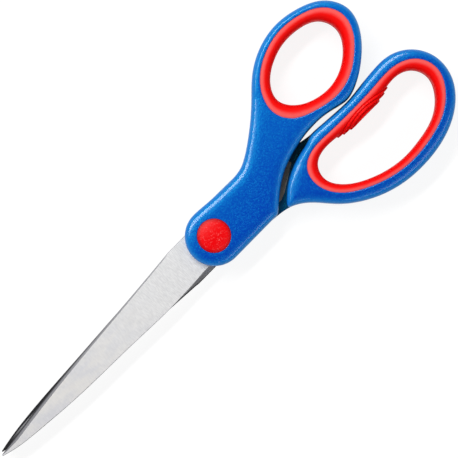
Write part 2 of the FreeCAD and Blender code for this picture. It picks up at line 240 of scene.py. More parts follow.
thumb_loop = open_curve(THUMB_LOOP, THUMB_LOOP_START, THUMB_SLOT_END)
front_side = [(FRONT_BOSS_X - FRONT_BOSS_RADIUS, 0), (-8.1, 5.0), (-7.75, 13.0), THUMB_LOOP[0]]
front_left = open_curve(front_side, (0, 1), THUMB_LOOP_START)
front_gap = open_curve(FRONT_GAP_EDGE, THUMB_SLOT_END, (0.66, -0.75))
front_right = even_steps(np.array([FRONT_GAP_EDGE[-1], (FRONT_BOSS_X + FRONT_BOSS_RADIUS, 0)]))
front_boss = circle_arc((FRONT_BOSS_X, 0), FRONT_BOSS_RADIUS, 0, -180)
front_corner = rounded_corner(front_gap, front_right, PLATE_CORNER_ROUND)
front_plate = closed_outline(front_left, thumb_loop, front_corner, front_boss)
thumb_shoulder = open_curve(THUMB_SHOULDER, THUMB_SLOT_END, (-0.7, -0.72))
thumb_foot = closed_outline(rounded_corner(thumb_shoulder, thumb_loop, THUMB_CORNER_ROUND))
print(f"thumb half: {len(front_plate)} and {len(thumb_foot)} outline points")

# %% Outlines of the finger half
FINGER_LOOP = [
    (-0.64, 40.9), (-0.42, 44.5), (0.0, 50.0), (0.2, 55.0), (-0.2, 59.5), (-0.85, 66.9),
    (-0.7, 71.4), (2.6, 77.9), (9.0, 81.45), (16.6, 80.7), (23.4, 75.3), (27.5, 66.9),
    (28.9, 56.5), (28.1, 48.2), (24.7, 39.1), (18.8, 31.3), (12.9, 26.0), (9.55, 20.0)]
FINGER_SHOULDER = [
    (9.55, 20.0), (8.0, 21.6), (5.0, 25.0), (2.4, 29.9), (1.2, 33.6), (0.3, 37.4),
    (-0.64, 40.9)]
BACK_GAP_EDGE = [(-7.7, 17.9), (-4.6, 22.4), (-2.7, 27.5), (-1.75, 32.5), (-1.25, 36.5), (-0.64, 40.9)]
FINGER_SLOT_START = (0.0, 1.0)
FINGER_LOOP_END = (-0.22, -0.98)
BACK_BOSS_X = 0.1
BACK_BOSS_RADIUS = 8.2
FINGER_CORNER_ROUND = 1.0

finger_loop = open_curve(FINGER_LOOP, FINGER_SLOT_START, FINGER_LOOP_END)
back_side = [FINGER_LOOP[-1], (8.75, 13.0), (8.4, 5.0), (BACK_BOSS_X + BACK_BOSS_RADIUS, 0)]
back_right = open_curve(back_side, FINGER_LOOP_END, (0, -1))
back_boss = circle_arc((BACK_BOSS_X, 0), BACK_BOSS_RADIUS, 0, -180)
back_left = even_steps(np.array([(BACK_BOSS_X - BACK_BOSS_RADIUS, 0), BACK_GAP_EDGE[0]]))
back_gap = open_curve(BACK_GAP_EDGE, (0.6, 0.8), FINGER_SLOT_START)
back_corner = rounded_corner(back_left, back_gap, PLATE_CORNER_ROUND)
back_plate = closed_outline(back_right, back_boss, back_corner, finger_loop)
finger_shoulder = open_curve(FINGER_SHOULDER, (-0.66, 0.75), FINGER_SLOT_START)
finger_head = closed_outline(rounded_corner(finger_loop, finger_shoulder, FINGER_CORNER_ROUND))
print(f"finger half: {len(back_plate)} and {len(finger_head)} outline points")

# %% [markdown]
# ## Where plastic and rubber meet
#
# The red rubber is moulded into an oval seat in each loop, and leaves a smaller hole for the
# thumb or fingers. Both ovals are closed curves through given points.

# %% Seats and holes
THUMB_SEAT = [
    (-3.1, 54.0), (-4.5, 60.2), (-8.2, 65.8), (-13.2, 70.1), (-18.4, 71.3), (-23.6, 68.8),
    (-27.0, 62.3), (-27.9, 55.4), (-26.2, 47.7), (-21.9, 41.1), (-17.2, 38.0), (-12.6, 37.3),
    (-7.9, 39.6), (-4.4, 46.4)]
THUMB_HOLE = [
    (-6.2, 53.8), (-7.5, 59.3), (-11.05, 64.4), (-16.5, 67.35), (-21.9, 65.5), (-24.55, 59.6),
    (-24.65, 53.2), (-22.4, 46.8), (-18.7, 42.3), (-14.4, 40.7), (-9.8, 43.2), (-7.0, 48.2)]
FINGER_SEAT = [
    (25.5, 56.0), (24.9, 62.8), (22.8, 70.2), (18.3, 76.3), (11.8, 79.3), (5.6, 76.9),
    (2.8, 71.5), (2.7, 63.0), (2.95, 54.0), (2.7, 43.0), (3.0, 37.0), (5.6, 32.5),
    (10.6, 31.2), (16.5, 33.7), (21.8, 41.0), (24.7, 49.0)]
FINGER_HOLE = [
    (23.35, 55.8), (22.95, 61.05), (21.0, 68.7), (16.85, 73.9), (11.4, 76.0), (6.8, 73.7),
    (5.2, 69.4), (5.5, 64.5), (5.85, 55.5), (5.5, 46.5), (5.1, 40.8), (6.8, 35.8),
    (11.2, 34.1), (16.0, 36.6), (20.2, 42.8), (22.6, 49.6)]

thumb_seat = closed_curve(THUMB_SEAT)
thumb_hole = closed_curve(THUMB_HOLE)
finger_seat = closed_curve(FINGER_SEAT)
finger_hole = closed_curve(FINGER_HOLE)
cap_socket = circle_arc((0, 0), CAP_RADIUS + 0.04, 0, 360)[:-1]
for name, hole in (("thumb", thumb_hole), ("finger", finger_hole)):
    print(f"{name} hole {np.ptp(hole[:, 1]):.1f} mm long")

# %% [markdown]
# ## Sheets and skins
#
# A skin is a closed shell sewn from sheets. Two kinds are enough: a strip, which carries one
# cross-section along an outline, and a flat or slightly crowned face between outlines, which a
# Delaunay triangulation fills.


# %% Measures on an outline
BLOCK = 1500  # points measured at once, which keeps the arrays small
HALVINGS = 14
TIGHT = 0.005  # a reach shorter by this much is out of room
CLEARANCE = 0.003
MITRE_SHARE = 0.96  # of the room that is used where it is tight


def cross(a, b):
    """Cross product of flat vectors, a_x b_y - a_y b_x."""
    return a[..., 0] * b[..., 1] - a[..., 1] * b[..., 0]


def inward_normals(outline):
    """Unit normals of a closed outline that point into it, square to the chord between neighbours."""
    along = np.roll(outline, -1, axis=0) - np.roll(outline, 1, axis=0)
    along /= np.hypot(*along.T)[:, None]
    clockwise = np.sum(cross(outline, np.roll(outline, -1, axis=0))) < 0
    return (1 if clockwise else -1) * np.column_stack([along[:, 1], -along[:, 0]])


def distance_to(points, outline):
    """Shortest distance from each point to the straight pieces of a closed outline."""
    piece = np.roll(outline, -1, axis=0) - outline
    length = np.maximum(np.sum(piece * piece, axis=1), 1e-12)
    nearest = []
    for share_of_points in np.array_split(points, 1 + len(points) // BLOCK):
        away = share_of_points[:, None] - outline[None]
        share = np.clip(np.sum(away * piece, axis=2) / length, 0, 1)
        away -= share[:, :, None] * piece
        nearest.append(np.sqrt(np.sum(away * away, axis=2).min(axis=1)))
    return np.concatenate(nearest)


def inside(points, outline):
    """True where a level ray from the point crosses the outline an odd number of times."""
    x, y = points[:, 0][:, None], points[:, 1][:, None]
    x0, y0 = outline.T
    x1, y1 = np.roll(outline, -1, axis=0).T
    rise = np.where(y1 == y0, 1e-12, y1 - y0)
    crosses = (y0 > y) != (y1 > y)
    return np.sum(crosses & (x < x0 + (y - y0) / rise * (x1 - x0)), axis=1) % 2 == 1


def inward_reach(outline, normals, far):
    """How far each point can move inwards, up to far, before another stretch is nearer.

    A corner sharper than its rim's rounding runs out of room at its bisector, where the two
    roundings meet in a mitre. The limit is found by halving the interval."""
    low = np.zeros(len(outline))
    high = np.full(len(outline), float(far))
    tight = distance_to(outline + far * normals, outline) < far - TIGHT
    for _ in range(HALVINGS):
        middle = (low + high) / 2
        moved = outline[tight] + middle[tight, None] * normals[tight]
        clear = distance_to(moved, outline) > middle[tight] - CLEARANCE
        low[tight] = np.where(clear, middle[tight], low[tight])
        high[tight] = np.where(clear, high[tight], middle[tight])
    return np.where(tight, MITRE_SHARE * low, far)


print("outline measures ready")


# %% The skin and its sheets
LATTICE_ROW = 0.866  # height of a lattice triangle over its side
LATTICE_MARGIN = 0.6  # spacings kept free beside a ring
WELD = 0.003
SLIVER = 0.001
LEVEL_NORMAL = 0.9999999  # the upright share of a level face's normal


class Skin:
    """Sheets of faces that are welded into one closed shell.

    A point is x, y, z in millimetres and a fourth number, across: how far across its section it
    lies. It becomes an attribute of the mesh, which the finishes read."""

    def __init__(self):
        self.points = []
        self.faces = []
        self.count = 0

    def add(self, points, faces):
        self.points.append(np.asarray(points, float))
        self.faces += (np.asarray(faces) + self.count).tolist()
        self.count += len(points)

    def strip(self, grid, close_across=False):
        """Quads over a grid of points, counted along, across and by number. Its rows close on
        themselves, and so do its columns with close_across."""
        rows, columns = grid.shape[:2]
        i = np.arange(rows)[:, None]
        j = np.arange(columns if close_across else columns - 1)[None]
        k = (j + 1) % columns
        down = (i + 1) % rows
        quads = np.stack(np.broadcast_arrays(i * columns + j, down * columns + j,
                                             down * columns + k, i * columns + k), axis=2)
        self.add(grid.reshape(-1, 4), quads.reshape(-1, 4))
        return self

    def fill(self, border, holes, surface=None, spacing=None):
        """Face inside a border and outside its holes, which are rings of points; inner points stand
        on a triangular lattice of that spacing, where surface(points) gives z and across."""
        loops = [border] + holes
        sizes = [len(loop) for loop in loops]
        starts = np.cumsum([0] + sizes[:-1])
        edges = np.vstack([np.column_stack([np.arange(n), (np.arange(n) + 1) % n]) + s
                           for n, s in zip(sizes, starts)])
        points = np.vstack(loops)
        if spacing:
            low, high = border[:, :2].min(axis=0), border[:, :2].max(axis=0)
            rows = np.arange(low[1], high[1], spacing * LATTICE_ROW)
            row, column = np.meshgrid(rows, np.arange(low[0], high[0], spacing), indexing="ij")
            column[1::2] += spacing / 2
            lattice = np.column_stack([column.ravel(), row.ravel()])
            lattice = lattice[inside(lattice, border[:, :2])]
            for loop in loops:
                lattice = lattice[distance_to(lattice, loop[:, :2]) > spacing * LATTICE_MARGIN]
            points = np.vstack([points, np.column_stack([lattice, *surface(lattice)])])
        found = delaunay_2d_cdt(points[:, :2].tolist(), edges.tolist(), [], 1, 1e-7)
        flat = np.array([p[:] for p in found[0]])
        triangles = np.array([f for f in found[2] if len(f) == 3])
        middles = flat[triangles].mean(axis=1)
        kept = inside(middles, border[:, :2])
        for hole in holes:
            kept &= ~inside(middles, hole[:, :2])
        self.add(points[[old[0] if old else 0 for old in found[3]]], triangles[kept])

    def shell(self, into):
        """Welds the sheets, turns the faces outwards and adds them to a bmesh, in metres."""
        points = np.vstack(self.points)
        mesh = bpy.data.meshes.new("sheets")
        mesh.from_pydata(points[:, :3] * MM, [], self.faces)
        mesh.attributes.new("across", "FLOAT", "POINT").data.foreach_set("value", points[:, 3])
        piece = bmesh.new()
        piece.from_mesh(mesh)
        bmesh.ops.remove_doubles(piece, verts=piece.verts, dist=WELD * MM)
        bmesh.ops.dissolve_degenerate(piece, edges=piece.edges, dist=SLIVER * MM)
        bmesh.ops.recalc_face_normals(piece, faces=piece.faces)
        piece.to_mesh(mesh)
        piece.free()
        into.from_mesh(mesh)
        bpy.data.meshes.remove(mesh)


def make_piece(name, skins, body, node, sharp=35):
    """One object from its skins in place of a node, smooth but for its level faces and sharp edges."""
    whole = bmesh.new()
    for skin in skins:
        skin.shell(whole)
    open_edges = sum(1 for edge in whole.edges if not edge.is_manifold)
    mesh = bpy.data.meshes.new(name)
    whole.to_mesh(mesh)
    whole.free()
    mesh.shade_smooth()
    mesh.set_sharp_from_angle(angle=math.radians(sharp))
    normals = np.empty(3 * len(mesh.polygons))
    mesh.polygons.foreach_get("normal", normals)
    mesh.polygons.foreach_set("use_smooth", abs(normals[2::3]) < LEVEL_NORMAL)
    piece = new_object(name, mesh)
    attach(piece, body)
    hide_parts(node)
    print(f"{name}: {len(mesh.polygons)} faces, {open_edges} edges not shared by two faces")
    return piece


# %% [markdown]
# ## Handles
#
# A handle comes out of a two-part mould, so its walls lean in a little from the parting line,
# and a fine seam shows there. Its rim has two parts: a tight rounding at the wall, and inside
# it a soft shoulder, which catches a long, wide highlight. Beside a loop's seat the band is
# narrow, and so is the shoulder. Each level is one closed shell: a strip for wall and rounding,
# and two faces.

# %% Levels of a handle
RIM_ROUND = 1.15  # the tight rounding
SHOULDER_WIDTH = 2.0  # the soft shoulder inside it, at its widest
SHOULDER_SHARE = 0.58  # of the band, where a seat is near
SHOULDER_SLOPE = 0.31  # at its steepest
DRAFT = 0.06  # how far a wall leans in up to its rim
SEAM_ROUND = 0.08  # the moulded edge at the parting line
FACE_LATTICE = 0.45
GAP_NEAR = 1.6  # edges this close to the other half get painted shade
GAP_EDGE = 1.1  # how far in from such an edge the painted shade reaches
SEAT_EDGE = (0.55, 0.28)  # width and drop of the edge beside the rubber
SOCKET_EDGE = (0.14, 0.14)  # and beside the cap


def shoulder(from_edge, from_seat):
    """Drop of the soft shoulder: g exp(-(d/w)^2), with g so that its steepest slope, at
    d = w/sqrt(2), is the same for every width w."""
    width = np.minimum(SHOULDER_WIDTH, SHOULDER_SHARE * (from_edge + from_seat))
    rise = SHOULDER_SLOPE * width / (math.sqrt(2) * math.exp(-0.5))
    return rise * np.exp(-(from_edge / width) ** 2)


def rounding(from_edge):
    """Drop of the tight rounding, a quarter circle: r - sqrt(r^2 - (r - d)^2)."""
    d = np.clip(from_edge - DRAFT, 0, RIM_ROUND)
    return RIM_ROUND - np.sqrt(RIM_ROUND ** 2 - (RIM_ROUND - d) ** 2)


def level(outline, beside, holes, part_z, rim_z):
    """Closed shell of one level, from the parting line at part_z to the rounded face at rim_z.

    The wall and rounding are one section carried along the outline. A hole is its outline and the
    width and drop of the quarter ellipse round it; the first hole is the grip's seat. Where the
    outline of the other half, beside, is near, across falls under zero at the edge."""
    up = math.copysign(1, rim_z - part_z)
    seat = holes[0][0]

    def face(points, from_edge=None):
        if from_edge is None:
            from_edge = distance_to(points, outline)
        drop = rounding(from_edge) + shoulder(from_edge, distance_to(points, seat))
        return rim_z - up * drop, from_edge

    skin = Skin()
    turn = np.radians(np.linspace(0, 90, 17))
    seam = SEAM_ROUND * np.array([1, 0.3, 0])
    inset = np.concatenate([seam, DRAFT + RIM_ROUND * (1 - np.cos(turn))])
    normals = inward_normals(outline)
    depth = np.minimum(inset[None], inward_reach(outline, normals, inset.max())[:, None])
    flat = outline[:, None] + depth[:, :, None] * normals[:, None]
    z = face(flat.reshape(-1, 2), depth.ravel())[0].reshape(depth.shape)
    z[:, :3] = part_z + up * SEAM_ROUND * np.array([0, 0.3, 1])
    # Painted shade: edges near the other half get across under zero, which the plastic finish darkens
    # to nearly black.
    near = (GAP_NEAR - distance_to(outline, beside) / GAP_NEAR).clip(0, 1)[:, None]
    across = depth - near * (GAP_EDGE - depth).clip(0, GAP_EDGE)
    wall = np.dstack([flat, z, across])
    skin.strip(wall)

    tops, feet = [], []
    for hole, width, drop in holes:
        outward = -inward_normals(hole)
        turn = np.radians([0, 15, 30, 45, 60, 75, 90, 90])
        ring = hole[:, None] + (width * (1 - np.sin(turn)))[None, :, None] * outward[:, None]
        z, from_edge = [v.reshape(ring.shape[:2]) for v in face(ring.reshape(-1, 2))]
        z -= up * drop * (1 - np.cos(turn))
        z[:, -1] = part_z
        ring = np.dstack([ring, z, from_edge])
        skin.strip(ring)
        tops.append(ring[:, 0])
        feet.append(ring[:, -1])

    skin.fill(wall[:, -1], tops, face, spacing=FACE_LATTICE)
    skin.fill(wall[:, 0], feet)
    return skin


thumb_holes = [(thumb_seat, *SEAT_EDGE), (cap_socket, *SOCKET_EDGE)]
finger_holes = [(finger_seat, *SEAT_EDGE), (cap_socket, *SOCKET_EDGE)]
thumb_face = level(front_plate, finger_head, thumb_holes, FRONT_PLATE_LOW, FACE)
thumb_base = level(thumb_foot, back_plate, thumb_holes[:1], FRONT_PLATE_LOW, 0)
thumb_handle = make_piece(
    "thumb_handle_plastic", [thumb_face, thumb_base], "front_half", "thumb_handle")
finger_base = level(back_plate, thumb_foot, finger_holes, BACK_PLATE_TOP, 0)
finger_face = level(finger_head, front_plate, finger_holes[:1], BACK_PLATE_TOP, FACE)
finger_handle = make_piece(
    "finger_handle_plastic", [finger_base, finger_face], "back_half", "finger_handle")

# %% [markdown]
# ## Grips
#
# Each grip is a ring of soft rubber. Seen in section it has its crest near the plastic, rolls
# down into the seam on that side and falls in a long quarter ellipse to the hole on the other.
# The section is carried round the hole, and widens with the distance to the seat.

# %% Section of a grip
CREST_SHARE = 0.68  # where the crest lies, from the hole at 0 to the seat at 1
FALL_TO_HOLE = 2.7  # height of the quarter ellipse
FALL_TO_SEAT = 0.16
SEAT_OVERLAP = 0.06  # how far the rubber reaches into the plastic
SKIRT = 1.2  # and down beside it
GRIP_MIDDLE = FACE / 2
GRIP_SHARP = 60  # degrees; gentler folds are shaded smooth


def width_to(seat, hole, outward):
    """Distance from each point of the hole to the seat along the normal: where that ray meets the
    seat's straight pieces, from the two-by-two system p + w n = a + s e, solved for w."""
    piece = np.roll(seat, -1, axis=0) - seat
    away = seat[None] - hole[:, None]
    divisor = cross(outward[:, None], piece[None])
    w = cross(away, piece[None]) / divisor
    s = cross(away, outward[:, None]) / divisor
    return np.where((s >= 0) & (s <= 1) & (w > 0), w, np.inf).min(axis=1)


def grip_ring(seat, hole, wall_columns):
    """Grid of a grip's surface, round the hole and round the section; across runs from 0 at the
    hole to 1 at the seat.

    From the middle of the hole's wall up: the wall, then x = a (1 - cos t), z = b sin t to the
    crest, then a parabola to the seat. The lower half is the same mirrored."""
    outward = -inward_normals(hole)
    width = width_to(seat, hole, outward)[:, None]
    wall_top = GRIP_TOP - FALL_TO_HOLE
    wall = np.linspace(GRIP_MIDDLE, wall_top, wall_columns, endpoint=False)
    t = np.radians(np.linspace(0, 90, 25))
    roll = np.linspace(0, 1, 9)[1:]
    crest = CREST_SHARE * width
    away = np.hstack([0 * width + 0 * wall, crest * (1 - np.cos(t)),
                      crest + (width - crest) * roll, width + SEAT_OVERLAP])
    z = np.concatenate([wall, wall_top + FALL_TO_HOLE * np.sin(t), GRIP_TOP - FALL_TO_SEAT * roll ** 2,
                        [GRIP_TOP - SKIRT]])
    away = np.hstack([away[:, :0:-1], away])
    z = np.concatenate([2 * GRIP_MIDDLE - z[:0:-1], z])
    flat = hole[:, None] + away[:, :, None] * outward[:, None]
    return np.dstack([flat, np.broadcast_to(z, away.shape), away / width])


thumb_skin = Skin().strip(grip_ring(thumb_seat, thumb_hole, 8), close_across=True)
thumb_grip = make_piece(
    "thumb_grip_rubber", [thumb_skin], "front_half", "thumb_grip", GRIP_SHARP)

# %% [markdown]
# ## Finger grip with its ribs
#
# The index finger rests on three ovals that are stacked like steps on the hole's wall and run
# over on to the face. Each step rises sharply at its border and slopes back inside it, so its
# crest catches the light beside a dark line. The slopes that face up get a paler painted sheen,
# and the valleys painted shade in deep red. Measured on the rubber, an oval is an ellipse in
# the length along the hole and the length round the section.

# %% Ribs where the index finger rests
RIB_CENTRE_Y = 55.5
RIB_SIDE_X = 12.0  # the ribs are on this side of the hole
RIB_REACH = 13.0
RIB_OVALS = [(10.35, 5.3), (8.5, 4.6), (6.0, 3.7)]  # half length along the hole, half girth
RIB_STEP = 0.48
RIB_EDGE = 0.16  # width of the rise at a border
RIB_CREST = 0.28  # share of the step that is eased back inside it
RIB_EASE = 0.7  # over this length
RIB_VALLEY = 0.22  # depth of the valley
VALLEY_FROM_EDGE = 0.12
VALLEY_WIDTH = 0.14
RIB_SHEEN = 0.5  # painted sheen: what an upward slope adds to across
RIB_SHEEN_LIMIT = 0.3
VALLEY_SHADE = 0.6  # painted shade: what a valley takes off across
VALLEY_MARK = -0.05


def rib_height(along, girth):
    """Sum over the ovals of a rise s^2(3 - 2s) across the border, eased back inside it, with a
    small valley just outside; the distance from a border is (1 - rho) / |slope of rho|."""
    height = np.zeros(along.shape)
    for half_length, half_girth in RIB_OVALS:
        rho = np.sqrt((along / half_length) ** 2 + (girth / half_girth) ** 2) + 1e-9
        slope = np.sqrt((along / half_length ** 2) ** 2 + (girth / half_girth ** 2) ** 2) / rho + 1e-9
        within = (1 - rho) / slope
        s = np.clip(within / RIB_EDGE, 0, 1)
        eased = 1 - RIB_CREST + RIB_CREST * np.exp(-np.maximum(within, 0) / RIB_EASE)
        height += RIB_STEP * s * s * (3 - 2 * s) * eased
        height -= RIB_VALLEY * np.exp(-((within + VALLEY_FROM_EDGE) / VALLEY_WIDTH) ** 2)
    return height


finger_ring = grip_ring(finger_seat, finger_hole, 24)
rubber_place = finger_ring[:, :, :3]
around = np.roll(rubber_place, -1, axis=0) - np.roll(rubber_place, 1, axis=0)
rib_normal = np.cross(around, np.gradient(rubber_place, axis=1))
rib_normal /= np.linalg.norm(rib_normal, axis=2)[:, :, None] + 1e-12
middle_column = finger_ring.shape[1] // 2
pace = np.linalg.norm(np.diff(rubber_place, axis=1, prepend=rubber_place[:, :1]), axis=2)
girth = np.cumsum(pace, axis=1)
girth -= girth[:, middle_column][:, None]
near_ribs = (finger_hole[:, 0] < RIB_SIDE_X) & (abs(finger_hole[:, 1] - RIB_CENTRE_Y) < RIB_REACH)
height = rib_height(finger_ring[:, :, 1] - RIB_CENTRE_Y, girth) * near_ribs[:, None]
into_hole = inward_normals(finger_hole)
facing = np.sign(np.sum(rib_normal[:, middle_column, :2] * into_hole, axis=1).mean())
rubber_place += facing * height[:, :, None] * rib_normal
# Painted sheen on the upward slopes, painted shade in the valleys.
painted_rib_sheen = (np.gradient(height, axis=1) * facing).clip(-RIB_SHEEN_LIMIT, RIB_SHEEN_LIMIT)
finger_ring[:, :, 3] += RIB_SHEEN * painted_rib_sheen - VALLEY_SHADE * (height < VALLEY_MARK)
finger_skin = Skin().strip(finger_ring, close_across=True)
finger_grip = make_piece(
    "finger_grip_rubber", [finger_skin], "back_half", "finger_grip", GRIP_SHARP)
print(f"ribs rise up to {height.max():.2f} mm")

# %% [markdown]
# ## Pivot caps
#
# A button of red plastic closes the hole over the rivet. It is a shallow dome with a small
# rounded rim, so it is a profile turned about the pivot's axis. The back one is flat and flush.


# %% Turned caps
TURNS = 160
CAP_RIM = 0.10  # radius of the rim


def turned(profile):
    """Grid of points by angle and along the profile: each (radius, z) turned about the z axis;
    across is the radius."""
    angle = np.linspace(0, 2 * math.pi, TURNS, endpoint=False)[:, None]
    radius, z = np.array(profile, float).T
    shape = (TURNS, len(z))
    return np.dstack([radius * np.cos(angle), radius * np.sin(angle), np.broadcast_to(z, shape),
                      np.broadcast_to(radius, shape)])


dome_rise = CAP_TOP - FACE
dome_radius = (CAP_RADIUS ** 2 + dome_rise ** 2) / (2 * dome_rise)
lean = math.asin((CAP_RADIUS - CAP_RIM) / dome_radius)
on_dome = np.linspace(0, lean, 22)
dome = np.column_stack([dome_radius * np.sin(on_dome), CAP_TOP - dome_radius * (1 - np.cos(on_dome))])
rim_turn = np.linspace(math.pi / 2 - lean, 0, 9)[1:]
rim_centre = (CAP_RADIUS - CAP_RIM, dome[-1, 1] - CAP_RIM * math.cos(lean))
rim = np.array(rim_centre) + CAP_RIM * np.column_stack([np.cos(rim_turn), np.sin(rim_turn)])
front_profile = np.vstack([dome, rim, [(CAP_RADIUS, CAP_FOOT), (0, CAP_FOOT)]])
front_dome = Skin().strip(turned(front_profile))
front_cap = make_piece(
    "front_pivot_cap_button", [front_dome], "front_half", "front_pivot_cap")

BACK_CAP_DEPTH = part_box("back_pivot_cap")[1].z / MM
edge_turn = np.radians(np.linspace(90, 0, 6))
edge = np.column_stack([CAP_RADIUS - CAP_RIM * (1 - np.cos(edge_turn)),
                        CAP_RIM * (1 - np.sin(edge_turn))])
back_profile = np.vstack([[(0, 0)], edge, [(CAP_RADIUS, BACK_CAP_DEPTH), (0, BACK_CAP_DEPTH)]])
back_disc = Skin().strip(turned(back_profile))
back_cap = make_piece(
    "back_pivot_cap_button", [back_disc], "back_half", "back_pivot_cap")

# %% [markdown]
# ## Blades
#
# A blade is stamped from 1.5 mm steel, and its cutting side is ground away to a bevel that
# widens towards the tip. Spine and tang only have their edges eased. The inner face is hollow
# ground; here it is flat, with a border along every edge that carries painted shade. It is
# again one section carried along an outline, but here the section changes on the way: each
# outline point has its own width and its own share of grinding.


# %% Blade outlines
TANG = [(5.85, 23.1), (2.8, 28.0), (1.15, 30.8), (0.0, 30.4)]
HEEL_Y = -13.0
TANG_FOOT_Y = 21.0
SPINE_END_Y = 12.0
BLADE_STEP = 0.12
ON_EDGE = 0.03  # a point this near the cutting line is ground


def blade_outline(side, heel_x, spine_x, cutting, tip, spine):
    """Closed outline of a blade with its tang, for each point whether it is on the cutting edge,
    and the sharp corners."""
    corners = [(side * heel_x, HEEL_Y), (side * heel_x, TANG_FOOT_Y)]
    corners += [(side * x, y) for x, y in TANG] + [(-side * spine_x, SPINE_END_Y), spine[-1]]
    straights = [even_steps(np.array(pair)) for pair in zip(corners, corners[1:])]
    end = even_steps(np.array([cutting[0], corners[0]]))
    point = open_curve([spine[0], tip, cutting[-1]])
    lines = straights + [open_curve(spine[::-1]), point, open_curve(cutting[::-1]), end]
    outline = closed_outline(*lines, step=BLADE_STEP)
    from_line = distance_to(outline, np.vstack([open_curve(cutting), open_curve(cutting)[::-1]]))
    return outline, from_line < ON_EDGE, corners[1:]


FRONT_CUTTING = [(-6.0, -14.0), (-4.75, -30.0), (-3.4, -50.0), (-1.7, -70.0), (0.65, -88.05)]
FRONT_TIP = (0.85, -88.27)
FRONT_SPINE = [
    (1.1, -88.1), (1.95, -85.0), (3.4, -75.0), (4.6, -60.0), (5.2, -40.0), (5.75, -22.0),
    (5.2, -9.0)]
BACK_CUTTING = [(6.45, -14.0), (5.35, -30.0), (4.1, -50.0), (2.6, -70.0), (0.25, -87.35)]
BACK_TIP = (0.05, -87.55)
BACK_SPINE = [
    (-0.15, -87.4), (-0.7, -84.6), (-2.15, -73.0), (-3.25, -55.0), (-4.4, -35.0),
    (-4.9, -22.0), (-5.0, -9.0)]
front_line = blade_outline(-1, 6.1, 5.2, FRONT_CUTTING, FRONT_TIP, FRONT_SPINE)
back_line = blade_outline(1, 6.6, 5.0, BACK_CUTTING, BACK_TIP, BACK_SPINE)
print(f"blades: {len(front_line[0])} and {len(back_line[0])} outline points")

# %% Blade shells
FROM_TIP = [0.0, 0.9, 2.3, 6.3, 16.3, 38.3, 58.3, 75.3]
BEVEL_WIDTH = [0.05, 0.28, 0.6, 1.1, 1.1, 0.75, 0.5, 0.35]
BORDER_WIDTH = [0.02, 0.06, 0.2, 0.7, 1.2, 1.0, 0.45, 0.4]
EASED = 0.14  # the eased edges of spine and tang
LAND = 0.2  # flat left at the foot of the bevel
BORE_RADIUS = 2.05
BLEND = 6  # outline points over which grinding starts and ends
BLADE_SHARP = 25


def blade_shell(outline, ground, corners, inner_z, outer_z):
    """Closed shell of a blade. The section's drop under the outer face, at the share t of its
    width, is (1 - t) h, where h is nearly the whole thickness if ground, and small if eased.
    The border of the inner face narrows to nothing at corners. In bevel and border, across
    runs from 1 at the edge to 0."""
    up = math.copysign(1, outer_z - inner_z)
    window = np.ones(2 * BLEND + 1) / (2 * BLEND + 1)
    share = np.convolve(np.pad(ground.astype(float), BLEND, mode="wrap"), window, mode="valid")
    from_tip = outline[:, 1] - outline[:, 1].min()
    eased = np.minimum(EASED, 0.02 + 0.3 * from_tip)
    width = (share * np.interp(from_tip, FROM_TIP, BEVEL_WIDTH) + (1 - share) * eased)[:, None]
    height = (share * (abs(outer_z - inner_z) - LAND) + (1 - share) * EASED)[:, None]
    inwards = inward_normals(outline)[:, None]
    t = np.linspace(0, 1, 7)
    flat = outline[:, None] + (width * t)[:, :, None] * inwards
    to_corner = np.hypot(*(outline[:, None] - np.array(corners)[None]).transpose(2, 0, 1)).min(axis=1)
    border_width = np.interp(from_tip, FROM_TIP, BORDER_WIDTH)
    border_width = np.minimum(border_width, 0.01 + 0.6 * to_corner)[:, None]
    border_t = np.linspace(1, 0, 4)
    border = outline[:, None] + (border_width * border_t)[:, :, None] * inwards
    inner = np.dstack([border, np.full(border.shape[:2], inner_z), 1 - border_t + 0 * width])
    outer = np.dstack([flat, outer_z - up * height * (1 - t), 1 - t + 0 * width])
    skin = Skin()
    skin.strip(np.concatenate([inner, outer], axis=1))
    bore = circle_arc((0, 0), BORE_RADIUS, 0, 360)[:-1]
    rings = [np.column_stack([bore, np.full(len(bore), z), np.zeros(len(bore))])
             for z in (inner_z, outer_z)]
    skin.strip(np.stack(rings, axis=1))
    skin.fill(inner[:, 0], rings[:1])
    skin.fill(outer[:, -1], rings[1:])
    return skin


front_low, front_top = [corner.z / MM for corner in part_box("front_blade")]
back_low, back_top = [corner.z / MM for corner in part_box("back_blade")]
front_shell = blade_shell(*front_line, front_low, front_top)
back_shell = blade_shell(*back_line, back_top, back_low)
front_blade = make_piece(
    "front_blade_steel", [front_shell], "front_half", "front_blade", BLADE_SHARP)
back_blade = make_piece(
    "back_blade_steel", [back_shell], "back_half", "back_blade", BLADE_SHARP)

# %% [markdown]
# ## A small language for finishes
#
# Shader maths reads best as plain expressions. A Number wraps a varying value, and + - * on it
# add the Math nodes. A Finish is one material: it makes any other node from its type, its
# settings and its sockets, and puts constants straight on the shader.


# %% Numbers and finishes
def feed(tree, socket, value):
    """Gives a socket a constant, or a link from a Number or another node's socket."""
    if isinstance(value, Number):
        value = value.socket
    if isinstance(value, bpy.types.NodeSocket):
        tree.links.new(value, socket)
    else:
        socket.default_value = value


class Number:
    """A value that varies over a surface."""

    def __init__(self, socket):
        self.socket = socket

    def math(self, operation, *terms, clamp=False):
        """Result of a Math node on those terms."""
        tree = self.socket.id_data
        node = tree.nodes.new("ShaderNodeMath")
        node.operation = operation
        node.use_clamp = clamp
        for socket, term in zip(node.inputs, terms):
            feed(tree, socket, term)
        return Number(node.outputs[0])

    def clamped(self):
        return self.math("ADD", self, 0.0, clamp=True)

    def absolute(self):
        return self.math("ABSOLUTE", self)

    def or_more(self, other):
        return self.math("MAXIMUM", self, other)

    __add__ = __radd__ = lambda self, other: self.math("ADD", self, other)
    __mul__ = __rmul__ = lambda self, other: self.math("MULTIPLY", self, other)
    __sub__ = lambda self, other: self.math("SUBTRACT", self, other)
    __rsub__ = lambda self, other: self.math("SUBTRACT", other, self)


